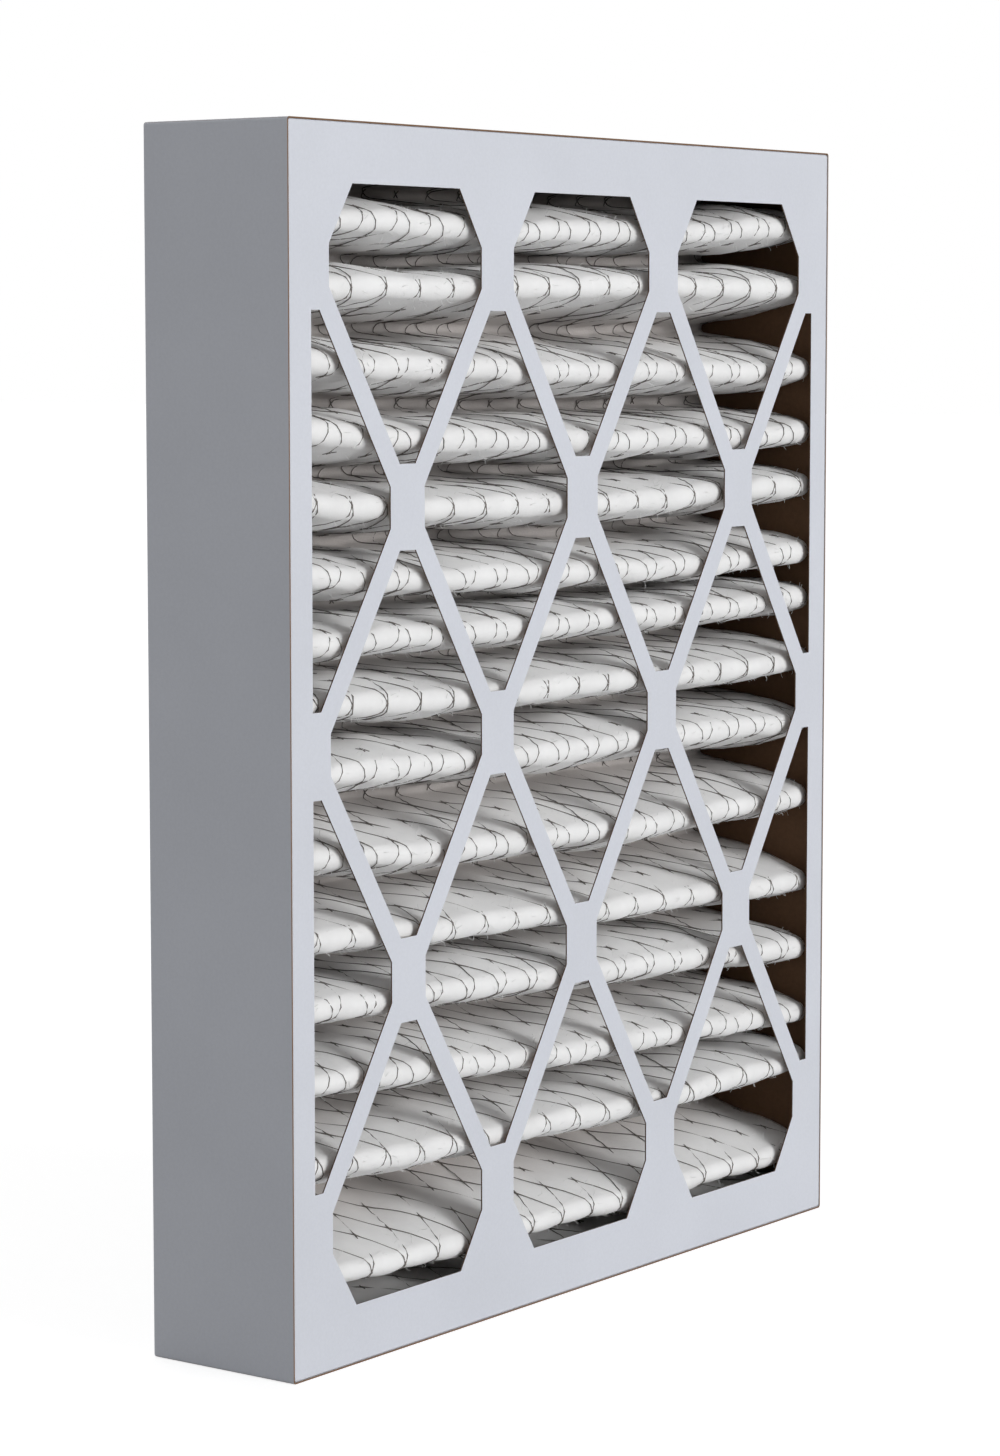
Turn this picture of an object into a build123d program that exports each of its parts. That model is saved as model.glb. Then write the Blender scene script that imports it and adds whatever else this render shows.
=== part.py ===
from build123d import *
from math import acos, atan2, cos, hypot, pi, sin
import os

# Pleated panel air filter, nominal 20 x 25 x 4 in, standing on its short side.
# Two die-cut board trays nest with their grids outwards, and a pleated pack of
# wire-backed media is bonded between them. Origin: middle of the underside,
# +X along the width, -Y out of the front grid, +Z up. Millimetres.

# ---- Driving dimensions ----
inch = 25.4
width = 19.5 * inch             # real sizes of the nominal 20 x 25 x 4 in filter
height = 24.5 * inch
depth = 3.625 * inch

board = 0.8                     # thickness of the clay-coated beverage board
crease_radius = 1.2             # outside radius of the board at a crease
corner_radius = 1.6             # and where two walls meet
tab_length = 32.0               # glue tabs folded round the tray corners
tab_taper = 8.0                 # set-back of a tab's corners at its free end
tray_gap = 1.0                  # front tray's walls stop this short of the rear grid
slip = 0.4                      # free space round a tab in its notch

column_pitch = 153.4            # grid nodes across the width
row_pitch = 120.3               # grid nodes up the height, every other one staggered
node_width = 28.0               # flat-sided nodes where four struts meet
node_side = 21.0                # straight side of a node
tip_flat = 13.0                 # blunt end of an opening, above and below a node
tip_drop = 21.8                 # from a node's centre to that blunt end
end_rise = 40.0                 # last row of nodes to the end of the grid window
end_flat = 88.0                 # straight edge of an opening on the window's end

media = 4.0                     # lofted non-woven media
wire = 0.5                      # expanded metal on the front of the media
bond = 0.05                     # film of adhesive that holds the wire to the media
fold_radius = 6.0               # at the middle of the media's thickness
outside_creases = 4             # the wire creases this often round a front fold
inside_chords = 2               # and spans the inside of a rear fold in this many chords
diamonds = 4                    # the wire's openings across the width, larger and fewer than in use
strand = 3.0                    # strip of metal between two of them
pack_slack = 2.4                # pleat tips to the grids
end_slack = 2.0                 # pleat ends to the side walls
tail_slack = 4.0                # free edge of the media to the rear grid

# Front folds, top to bottom: distance below the top of the filter at the left and
# right ends of the pack. It is spread by hand, so the folds wander and lean.
front_folds = [
    (48, 44),
    (82, 78),
    (118, 126),
    (153, 162),
    (189, 193),
    (224, 233),
    (257, 259),
    (288, 295),
    (322, 330),
    (364, 376),
    (404, 426),
    (438, 464),
    (475, 504),
    (519, 534),
    (576, 586),
]

# ---- Grid ----
window_width = 3 * column_pitch
window_height = 4 * row_pitch + 2 * end_rise
opening_reach = (column_pitch - node_width) / 2
opening_rise = row_pitch - tip_drop

front_plane = Plane(origin=(0, -depth / 2, height / 2), x_dir=(1, 0, 0), z_dir=(0, -1, 0))
rear_plane = Plane(origin=(0, depth / 2, height / 2), x_dir=(1, 0, 0), z_dir=(0, -1, 0))


def opening_outline(flat, rise):
    """Half an opening: blunt tip below, and a tip of the given flat and rise above."""
    return [
        (-flat / 2, rise),
        (flat / 2, rise),
        (opening_reach, node_side / 2),
        (opening_reach, -node_side / 2),
        (tip_flat / 2, -opening_rise),
        (-tip_flat / 2, -opening_rise),
        (-opening_reach, -node_side / 2),
        (-opening_reach, node_side / 2),
    ]


def grid_openings():
    """All openings of one grid: diamonds, half diamonds at the sides, and end openings."""
    middle_row = [(n * column_pitch, 0) for n in (-1, 0, 1)]
    staggered_rows = [
        ((n - 1.5) * column_pitch, side * row_pitch) for n in range(4) for side in (-1, 1)
    ]
    top_row = [(n * column_pitch, 2 * row_pitch) for n in (-1, 0, 1)]
    with Locations(*middle_row, *staggered_rows):
        Polygon(*opening_outline(tip_flat, opening_rise), align=None)
    with Locations(*top_row):
        Polygon(*opening_outline(end_flat, end_rise), align=None)
    with Locations(*[Location((x, -z), 180) for x, z in top_row]):
        Polygon(*opening_outline(end_flat, end_rise), align=None)
    Rectangle(window_width, window_height, mode=Mode.INTERSECT)


def corner_tabs(half_width, level, front, rear):
    """Tapered glue tabs on a tray's four corners.

    They start at half_width from the middle, lie one board thick with their
    outer faces `level` inside the filter's ends, and run from front to rear.
    """
    for side in (-1, 1):
        for base in (level, height - level - board):
            with BuildSketch(Plane.XY.offset(base)) as tab:
                Polygon(
                    (side * half_width, front),
                    (side * (half_width - tab_length), front + tab_taper),
                    (side * (half_width - tab_length), rear - tab_taper),
                    (side * half_width, rear),
                    align=None,
                )
            extrude(tab.sketch, amount=board)


# ---- Rear tray: its walls wrap the outside and end flush with the front grid ----
with BuildPart() as rear_tray:
    with BuildSketch(rear_plane):
        Rectangle(width, height)
    extrude(amount=depth)
    fillet(rear_tray.edges().filter_by(Axis.Y), corner_radius)
    fillet(rear_tray.faces().sort_by(Axis.Y)[-1].edges(), crease_radius)
    with BuildSketch(rear_plane.offset(board)):
        Rectangle(width - 2 * board, height - 2 * board)
    extrude(amount=depth - board, mode=Mode.SUBTRACT)
    with BuildSketch(rear_plane):
        grid_openings()
    extrude(amount=board, mode=Mode.SUBTRACT)
    corner_tabs(width / 2 - board, board, -depth / 2 + board + slip, depth / 2 - board)
rear_tray.part.label = "rear_tray"

# ---- Front tray: nests inside, notched at its corners for the rear tray's tabs ----
nest_width = width - 2 * board
nest_height = height - 2 * board
nest_depth = depth - board - tray_gap
notch = tab_length + slip
with BuildPart() as front_tray:
    with BuildSketch(front_plane):
        Rectangle(nest_width, nest_height)
    extrude(amount=-nest_depth)
    fillet(front_tray.edges().filter_by(Axis.Y), corner_radius)
    fillet(front_tray.faces().sort_by(Axis.Y)[0].edges(), crease_radius)
    with BuildSketch(front_plane.offset(-board)):
        Rectangle(nest_width - 2 * board, nest_height - 2 * board)
    extrude(amount=board - nest_depth, mode=Mode.SUBTRACT)
    with BuildSketch(front_plane.offset(-board)):
        with GridLocations(nest_width - notch, nest_height - board, 2, 2):
            Rectangle(notch, board)
    extrude(amount=board - nest_depth, mode=Mode.SUBTRACT)
    with BuildSketch(front_plane):
        grid_openings()
    extrude(amount=-board, mode=Mode.SUBTRACT)
    corner_tabs(
        width / 2 - 2 * board, 2 * board, -depth / 2 + board + slip, depth / 2 - board - tray_gap
    )
front_tray.part.label = "front_tray"

# ---- Pleated pack ----
pack_floor = 3 * board          # the pack's end legs lie on the front tray's tabs
front_centre = -depth / 2 + board + pack_slack + wire + bond + media / 2 + fold_radius
rear_centre = depth / 2 - board - pack_slack - media / 2 - fold_radius
tail = depth / 2 - board - tail_slack
end_fold = pack_floor + wire + bond + media / 2 + fold_radius
pack_width = width - 4 * board - 2 * end_slack
pack_ends = (-pack_width / 2, pack_width / 2)


def fold_centres(end):
    """Centres of all folds at one end of the pack, top to bottom, front and rear in turn."""
    drops = [end_fold] + [folds[end] for folds in front_folds] + [height - end_fold]
    centres = [(front_centre, height - drops[0])]
    for above, below in zip(drops, drops[1:]):
        centres.append((rear_centre, height - (above + below) / 2))
        centres.append((front_centre, height - below))
    return centres


def leg_normals(centres):
    """Direction of each leg's front side, as an angle, from the top leg to the bottom one.

    The legs between two folds are tangent to both. Those that leave a front
    fold face down, and those that leave a rear fold face up.
    """
    normals = [pi / 2]
    for n, ((y, z), (next_y, next_z)) in enumerate(zip(centres, centres[1:])):
        facing = 1 if n % 2 == 0 else -1
        lean = acos(2 * fold_radius / hypot(next_y - y, next_z - z))
        away = atan2(next_z - z, next_y - y) - facing * lean
        normals.append(away % (2 * pi) if facing == 1 else (away + pi) % (2 * pi))
    return normals + [3 * pi / 2]


def folds(end, ahead):
    """Every fold at one end of the pack, top to bottom, for a line `ahead` of the media's middle.

    Each is its centre, the signed radius along the front side's direction, and
    that direction's angle where the line enters and leaves the fold.
    """
    centres = fold_centres(end)
    normals = leg_normals(centres)
    for n, centre in enumerate(centres):
        radius = fold_radius + ahead if n % 2 == 0 else ahead - fold_radius
        yield Vector(*centre), radius, normals[n], normals[n + 1]


def toward(angle, distance):
    """A step of that distance in the pack's cross-section."""
    return Vector(distance * cos(angle), distance * sin(angle))


def free_ends(end, ahead):
    """The folded line's free ends, beside the rear grid at the top and the bottom."""
    top, bottom = end_fold - fold_radius - ahead, end_fold - fold_radius - ahead
    return Vector(tail, height - top), Vector(tail, bottom)


def fold_line(end, ahead):
    """Draws the line with round folds and returns its two free ends."""
    top_end, bottom_end = free_ends(end, ahead)
    last = top_end
    for centre, radius, enter, leave in folds(end, ahead):
        arc = [centre + toward(angle, radius) for angle in (enter, (enter + leave) / 2, leave)]
        Line(last, arc[0])
        ThreePointArc(*arc)
        last = arc[-1]
    Line(last, bottom_end)
    return top_end, bottom_end


def crease_points(end, rear_face, ahead):
    """Points of the line with creased folds, which lies `ahead` of rear_face.

    Flats stand round the outside of the media's front folds, and chords span
    the inside of its rear folds.
    """
    top_end, bottom_end = free_ends(end, rear_face + ahead)
    points = [top_end]
    for centre, radius, enter, leave in folds(end, rear_face):
        outside = radius > 0
        turn = (leave - enter) / (outside_creases if outside else inside_chords)
        mitre = cos(turn / 2)
        if outside:
            angles = [enter + (n + 0.5) * turn for n in range(outside_creases)]
            reach = (radius + ahead) / mitre
        else:
            angles = [enter + n * turn for n in range(inside_chords + 1)]
            reach = radius + ahead / mitre
        points += [centre + toward(angle, reach) for angle in angles]
    return points + [bottom_end]


with BuildPart() as pleated_media:
    sections = []
    for end, x in enumerate(pack_ends):
        with BuildSketch(Plane.YZ.offset(x)) as section:
            with BuildLine():
                front_top, front_bottom = fold_line(end, media / 2)
                rear_top, rear_bottom = fold_line(end, -media / 2)
                Line(front_top, rear_top)
                Line(front_bottom, rear_bottom)
            make_face()
        sections.append(section.sketch)
    loft(sections=sections, ruled=True)
pleated_media.part.label = "pleated_media"

with BuildPart() as wire_backing:
    sections = []
    for end, x in enumerate(pack_ends):
        inner = media / 2 + bond
        outline = crease_points(end, inner, wire) + crease_points(end, inner, 0)[::-1]
        with BuildSketch(Plane.YZ.offset(x)) as section:
            Polygon(*outline, align=None)
        sections.append(section.sketch)
    loft(sections=sections, ruled=True)
    # Each opening is a diamond across a front fold, so from above half of it covers the other.
    diamond_pitch = pack_width / diamonds
    diamond_reach = rear_centre - front_centre
    with BuildSketch() as openings:
        with Locations((0, front_centre - fold_radius)):
            with GridLocations(diamond_pitch, 0, diamonds, 1):
                Polygon(
                    (strand / 2 - diamond_pitch / 2, 0),
                    (0, -diamond_reach),
                    (diamond_pitch / 2 - strand / 2, 0),
                    (0, diamond_reach),
                    align=None,
                )
    extrude(openings.sketch, amount=height - end_fold - 2 * fold_radius, mode=Mode.SUBTRACT)
wire_backing.part.label = "wire_backing"

# ---- Write one STEP file for each piece ----
os.makedirs("parts", exist_ok=True)
export_step(rear_tray.part, "parts/rear_tray.step")
export_step(front_tray.part, "parts/front_tray.step")
export_step(pleated_media.part, "parts/pleated_media.step")
export_step(wire_backing.part, "parts/wire_backing.step")
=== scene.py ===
"""Pleated panel air filter: finishes for its two board trays, lofted felt, expanded-metal wire and stage.

Laid out as an add-on. Everything is in metres, in the row frame: +X along the
width, -Y out of the front grid, +Z up, and the origin under the middle.
"""

import math

import bpy
import numpy as np
from bpy.props import FloatProperty, FloatVectorProperty, IntProperty, PointerProperty
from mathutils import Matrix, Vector


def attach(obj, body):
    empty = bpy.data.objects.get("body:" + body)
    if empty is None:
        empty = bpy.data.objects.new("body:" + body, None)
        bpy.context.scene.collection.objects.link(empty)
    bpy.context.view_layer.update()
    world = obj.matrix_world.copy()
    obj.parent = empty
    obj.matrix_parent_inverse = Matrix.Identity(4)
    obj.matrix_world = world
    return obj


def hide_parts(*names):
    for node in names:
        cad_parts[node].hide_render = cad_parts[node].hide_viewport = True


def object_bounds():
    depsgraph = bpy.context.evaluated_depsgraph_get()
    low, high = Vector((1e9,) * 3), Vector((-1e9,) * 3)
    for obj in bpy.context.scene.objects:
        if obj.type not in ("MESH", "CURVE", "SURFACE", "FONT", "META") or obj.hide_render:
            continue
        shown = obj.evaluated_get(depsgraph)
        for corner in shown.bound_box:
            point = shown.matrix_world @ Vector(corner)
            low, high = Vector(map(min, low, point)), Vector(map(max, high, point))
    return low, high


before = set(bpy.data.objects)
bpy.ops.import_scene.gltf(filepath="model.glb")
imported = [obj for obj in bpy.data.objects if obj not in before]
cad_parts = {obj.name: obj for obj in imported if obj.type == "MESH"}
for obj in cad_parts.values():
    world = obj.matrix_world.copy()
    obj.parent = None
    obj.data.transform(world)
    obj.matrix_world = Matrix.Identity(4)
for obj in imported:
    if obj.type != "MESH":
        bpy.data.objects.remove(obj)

bl_info = {
    "name": "Pleated Panel Filter",
    "version": (1, 0, 0),
    "blender": (4, 5, 0),
    "location": "3D View > Sidebar > Filter",
    "description": "Dresses a pleated panel air filter with board, felt and expanded metal",
    "category": "Object",
}

MM = 0.001
LOW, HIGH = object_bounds()
WIDTH, DEPTH, HEIGHT = HIGH - LOW
BOARD = 0.8 * MM                # one ply of beverage board

# Front folds, top to bottom: millimetres below the top of the filter at the
# left end, middle and right end of the pack.
FRONT_FOLDS = (
    (46, 50, 42),
    (83, 79, 78),
    (117, 124, 125),
    (152, 161, 161),
    (187, 195, 191),
    (222, 232, 231),
    (256, 259, 258),
    (287, 293, 294),
    (322, 327, 330),
    (362, 374, 374),
    (403, 416, 425),
    (438, 450, 465),
    (474, 492, 503),
    (517, 530, 532),
    (575, 582, 585),
)
FOLD_RADIUS = 4.4 * MM          # at the middle of the felt's thickness
END_FOLD = 10.95 * MM           # centre of the first and last fold, from the filter's ends
TAIL = 4.8 * MM                 # free edges of the felt, from the filter's back
TIP_TO_GRID = 2.95 * MM         # front of the felt to the inside of the front grid
BACK_TO_GRID = 2.4 * MM         # back of the felt to the inside of the rear grid
END_SLACK = 3.6 * MM            # ends of the felt, from the filter's sides
ROUNDED_ENDS = 15 * MM          # length over which a crest rounds back at a side wall
ROUNDED_BACK = 9 * MM           # and how far back it goes
END_LEG = 85 * MM               # part of the first and last leg that lies along a tray
JOINT_FOLD = 1                  # of FRONT_FOLDS, counted from 0: a row of wire joints is on its crest
DIMPLE = 0.16                   # reach of a strand's dimple in the felt, in diamonds
BELLY_SCALE = 6.75              # brings the greatest value of s * (1 - s)^2 to 1
BARE_SIDES = 12 * MM            # no loose fibres this near the filter's sides

# How hand-spread pleats stray: how far, over what wavelength, and from which seed.
FRONT_STRAY = (1.3 * MM, 190 * MM, 0)       # height of a front fold
RADIUS_STRAY = (0.8 * MM, 130 * MM, 40)     # radius of a front fold
CREST_STRAY = (0.5 * MM, 220 * MM, 80)      # how far a crest is set back
REAR_STRAY = (1.5 * MM, 250 * MM, 120)      # height of a rear fold
BILLOW_STRAY = (1.0, 160 * MM, 300)         # a leg's billow, as a share of it
BILLOW_SLANT = 0.37             # how far a billow moves across for each metre along the sheet
QUILT_MEAN = 0.75               # of the quilting, so that the felt keeps its thickness

# Sizes of the patterns in the materials, as repeats in metres.
MOTTLE = 1000 / 14 * MM         # cloudiness of the board's clay coat
CLOUD = 1000 / 45 * MM          # cloudiness of the carded felt
SPANGLE = 2.5 * MM              # zinc crystals on the wire
# A real fibre is about 0.02 mm thick. The felt's hair is drawn as coarse as it needs to show.
HAIR = (MM / 3, MM / 0.26, MM / 1.2)


def linear(code):
    """An sRGB hex colour as linear RGB."""
    parts = [int(code[n : n + 2], 16) / 255 for n in (0, 2, 4)]
    return [p / 12.92 if p <= 0.04045 else ((p + 0.055) / 1.055) ** 2.4 for p in parts]


def colour(name, code, description):
    """A colour property whose default is an sRGB hex colour."""
    return FloatVectorProperty(
        name=name, description=description, subtype="COLOR", min=0, max=1, default=linear(code)
    )


# ---- Settings ----
class BoardSettings(bpy.types.PropertyGroup):
    """Clay-coated beverage board, as the trays are cut from."""

    coated: colour("Coated", "CDD0D8", "Clay-coated outer face")
    raw: colour("Raw kraft", "73563F", "Uncoated inner face")
    cut: colour("Cut edge", "5F4A3C", "Die-cut edge of the board")
    rim: colour("Rim", "BDBCBC", "Cut edge of the outer tray, which the coat has rolled over")
    grain: FloatProperty(
        name="Grain", description="Size of the paper's fibre clumps",
        default=1.6 * MM, min=0.2 * MM, unit="LENGTH",
    )


class FeltSettings(bpy.types.PropertyGroup):
    """Lofted non-woven media."""

    tip: colour("Crest", "F4F4F4", "Felt at the front of the pleats")
    # Painted shade: a darker, browner felt colour that stands in for the shade far back between the pleats.
    painted_valley_shade: colour("Valley", "D2CDCA", "Felt deep between the pleats")
    thickness: FloatProperty(
        name="Thickness", description="Loft of the felt", default=4 * MM, min=1 * MM, unit="LENGTH",
    )
    puff: FloatProperty(
        name="Puff", description="How far the felt swells through the wire's diamonds",
        default=0.8 * MM, min=0, unit="LENGTH",
    )
    billow: FloatProperty(
        name="Billow", description="How far a leg of the pleat bows between its folds",
        default=2.2 * MM, min=0, unit="LENGTH",
    )
    belly: FloatProperty(
        name="Belly", description="How far a leg swells out behind its crest",
        default=2.0 * MM, min=0, unit="LENGTH",
    )
    columns: IntProperty(name="Columns", description="Mesh columns across the width", default=96, min=12)
    arc_rows: IntProperty(name="Fold rows", description="Mesh rows round a fold", default=8, min=3)
    leg_rows: IntProperty(name="Leg rows", description="Mesh rows along a leg", default=8, min=2)


class WireSettings(bpy.types.PropertyGroup):
    """Expanded metal bonded to the front of the felt."""

    metal: colour("Metal", "77726E", "Dull galvanised strand")
    diamond_across: FloatProperty(
        name="Diamond across", description="Diamond size across the filter",
        default=28 * MM, min=5 * MM, unit="LENGTH",
    )
    diamond_along: FloatProperty(
        name="Diamond along", description="Diamond size along the pleated length",
        default=52 * MM, min=5 * MM, unit="LENGTH",
    )
    shift: FloatProperty(
        name="Shift", description="A joint's place across the filter, from its middle",
        default=2.8 * MM, unit="LENGTH",
    )
    strand: FloatProperty(
        name="Strand", description="Thickness of a strand, drawn a little coarser so that it shows",
        default=0.6 * MM, min=0.1 * MM, unit="LENGTH",
    )


class FibreSettings(bpy.types.PropertyGroup):
    """Loose fibres that stand off the felt's crests."""

    density: FloatProperty(
        name="Density", description="Fibres on a square metre of crest", default=15000, min=0,
    )
    reach: FloatProperty(
        name="Reach", description="How far behind the grid the fibres go",
        default=22 * MM, min=1 * MM, unit="LENGTH",
    )
    length: FloatProperty(
        name="Length", description="Length of the longest fibres",
        default=4.6 * MM, min=1 * MM, unit="LENGTH",
    )
    thickness: FloatProperty(
        name="Thickness", description="Thickness of a fibre, drawn far coarser so that it shows",
        default=0.28 * MM, min=0.02 * MM, unit="LENGTH",
    )
    seed: IntProperty(name="Seed", description="Seed of the scatter", default=7)


class StageSettings(bpy.types.PropertyGroup):
    """Floor, lights and camera."""

    floor: colour("Floor", "C4C4C4", "Pale studio floor")
    floor_lift: FloatProperty(
        name="Floor lift", description="How far the floor is lifted towards white where it is seen",
        default=0.72, min=0, max=1,
    )
    key: FloatProperty(
        name="Key", description="Brightness of white card that faces the key light", default=0.77, min=0
    )
    fill: FloatProperty(
        name="Fill", description="Brightness of white card that faces the fill light", default=0.04, min=0
    )
    back: FloatProperty(
        name="Back", description="Brightness of white card that faces the light behind the filter",
        default=0.24, min=0,
    )
    sky: FloatProperty(name="Sky", description="Strength of the light from all round", default=0.33, min=0)


# ---- Nodes and materials ----
def node(tree, kind, inputs=None, **settings):
    """Adds a node: settings are its properties, inputs its sockets' values or what feeds them."""
    made = tree.nodes.new(kind)
    for name, value in settings.items():
        setattr(made, name, value)
    for key, value in (inputs or {}).items():
        socket = made.inputs[key]
        if isinstance(value, bpy.types.NodeSocket):
            tree.links.new(value, socket)
        else:
            socket.default_value = value
    return made


def new_material(name):
    """An empty node material and its output node."""
    material = bpy.data.materials.new(name)
    material.use_nodes = True
    material.node_tree.nodes.clear()
    return material, node(material.node_tree, "ShaderNodeOutputMaterial")


def rgba(rgb):
    """Linear RGB with alpha 1."""
    return (*rgb, 1)


def coated_face_mask(tree, front):
    """1 on the faces of a tray that were the outside of its sheet, 0 inside and on cut edges.

    front is -1 for the tray whose grid faces -Y and 1 for the other. A face
    counts if it lies within half a board of the tray's envelope and faces out
    there: its normal's part along that axis is above 0.3.
    """
    inset = BOARD if front < 0 else 0
    half = (WIDTH / 2 - inset, DEPTH / 2, HEIGHT / 2 - inset)
    place = node(tree, "ShaderNodeTexCoord")
    from_middle = node(
        tree, "ShaderNodeVectorMath",
        {0: place.outputs["Object"], 1: (0, 0, HEIGHT / 2)}, operation="SUBTRACT",
    )
    outward = node(
        tree, "ShaderNodeVectorMath",
        {0: from_middle.outputs[0], 1: place.outputs["Normal"]}, operation="MULTIPLY",
    )
    reach = node(tree, "ShaderNodeVectorMath", {0: from_middle.outputs[0]}, operation="ABSOLUTE")
    reach_parts = node(tree, "ShaderNodeSeparateXYZ", {0: reach.outputs[0]})
    outward_parts = node(tree, "ShaderNodeSeparateXYZ", {0: outward.outputs[0]})
    side = node(tree, "ShaderNodeSeparateXYZ", {0: from_middle.outputs[0]})
    one_side = node(tree, "ShaderNodeMath", {0: side.outputs[1], 1: front}, operation="MULTIPLY")
    reaches = [reach_parts.outputs[0], one_side.outputs[0], reach_parts.outputs[2]]
    mask = 0.0
    for axis, size in enumerate(half):
        near = node(
            tree, "ShaderNodeMath", {0: reaches[axis], 1: size - BOARD / 2}, operation="GREATER_THAN"
        ).outputs[0]
        faces_out = node(
            tree, "ShaderNodeMath", {0: outward_parts.outputs[axis], 1: 0.3 * size}, operation="GREATER_THAN"
        ).outputs[0]
        both = node(tree, "ShaderNodeMath", {0: near, 1: faces_out}, operation="MULTIPLY").outputs[0]
        mask = node(tree, "ShaderNodeMath", {0: mask, 1: both}, operation="MAXIMUM").outputs[0]
    return mask


def cut_edge_mask(tree):
    """1 on die-cut edges: the openings' sides, and the trays' rims that face along Y."""
    place = node(tree, "ShaderNodeTexCoord")
    spot = node(tree, "ShaderNodeSeparateXYZ", {0: place.outputs["Object"]})
    facing = node(tree, "ShaderNodeSeparateXYZ", {0: place.outputs["Normal"]})
    reach = node(tree, "ShaderNodeMath", {0: spot.outputs[1]}, operation="ABSOLUTE")
    in_grid = node(
        tree, "ShaderNodeMath", {0: reach.outputs[0], 1: DEPTH / 2 - 1.1 * BOARD}, operation="GREATER_THAN"
    )
    straight = node(tree, "ShaderNodeMath", {0: facing.outputs[1]}, operation="ABSOLUTE")
    sideways = node(tree, "ShaderNodeMath", {0: straight.outputs[0], 1: 0.3}, operation="LESS_THAN")
    return node(
        tree, "ShaderNodeMath", {0: in_grid.outputs[0], 1: sideways.outputs[0]}, operation="MULTIPLY"
    ).outputs[0]


def board_material(name, front, look, cut):
    """Beverage board: unbleached kraft with a clay coat rolled on one face.

    The coat gives a smooth pale grey with a low sheen and a faint mottle. The
    uncoated face shows brown fibre, and the die-cut edges have the colour cut.
    """
    material, output = new_material(name)
    tree = material.node_tree
    place = node(tree, "ShaderNodeTexCoord").outputs["Object"]
    clumps = node(
        tree, "ShaderNodeTexNoise",
        {"Vector": place, "Scale": 1 / look.grain, "Detail": 3, "Roughness": 0.6},
    )
    mottle = node(
        tree, "ShaderNodeTexNoise", {"Vector": place, "Scale": 1 / MOTTLE, "Detail": 2, "Roughness": 0.5}
    )
    both = node(
        tree, "ShaderNodeMath", {0: clumps.outputs["Fac"], 1: mottle.outputs["Fac"]}, operation="ADD"
    )
    coat_tone = node(
        tree, "ShaderNodeMapRange",
        {"Value": both.outputs[0], "From Min": 0.7, "From Max": 1.3, "To Min": 0.965, "To Max": 1.03},
    )
    coat = node(
        tree, "ShaderNodeVectorMath", {0: look.coated, "Scale": coat_tone.outputs[0]}, operation="SCALE"
    )
    fibre = node(
        tree, "ShaderNodeTexNoise",
        {"Vector": place, "Scale": 0.7 / look.grain, "Detail": 5, "Roughness": 0.7},
    )
    kraft_tone = node(
        tree, "ShaderNodeMapRange", {"Value": fibre.outputs["Fac"], "To Min": 0.75, "To Max": 1.25}
    )
    kraft = node(
        tree, "ShaderNodeVectorMath", {0: look.raw, "Scale": kraft_tone.outputs[0]}, operation="SCALE"
    )
    mask = coated_face_mask(tree, front)
    edged = node(
        tree, "ShaderNodeMix", {0: cut_edge_mask(tree), 6: kraft.outputs[0], 7: rgba(cut)}, data_type="RGBA"
    )
    base = node(tree, "ShaderNodeMix", {0: mask, 6: edged.outputs[2], 7: coat.outputs[0]}, data_type="RGBA")
    roughness = node(tree, "ShaderNodeMapRange", {"Value": mask, "To Min": 0.9, "To Max": 0.52})
    bump = node(
        tree, "ShaderNodeBump", {"Height": clumps.outputs["Fac"], "Strength": 0.12, "Distance": 0.15 * MM}
    )
    shader = node(
        tree, "ShaderNodeBsdfPrincipled",
        {
            "Base Color": base.outputs[2],
            "Roughness": roughness.outputs[0],
            "Specular IOR Level": 0.35,
            "Normal": bump.outputs[0],
        },
    )
    tree.links.new(shader.outputs[0], output.inputs[0])
    return material


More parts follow.
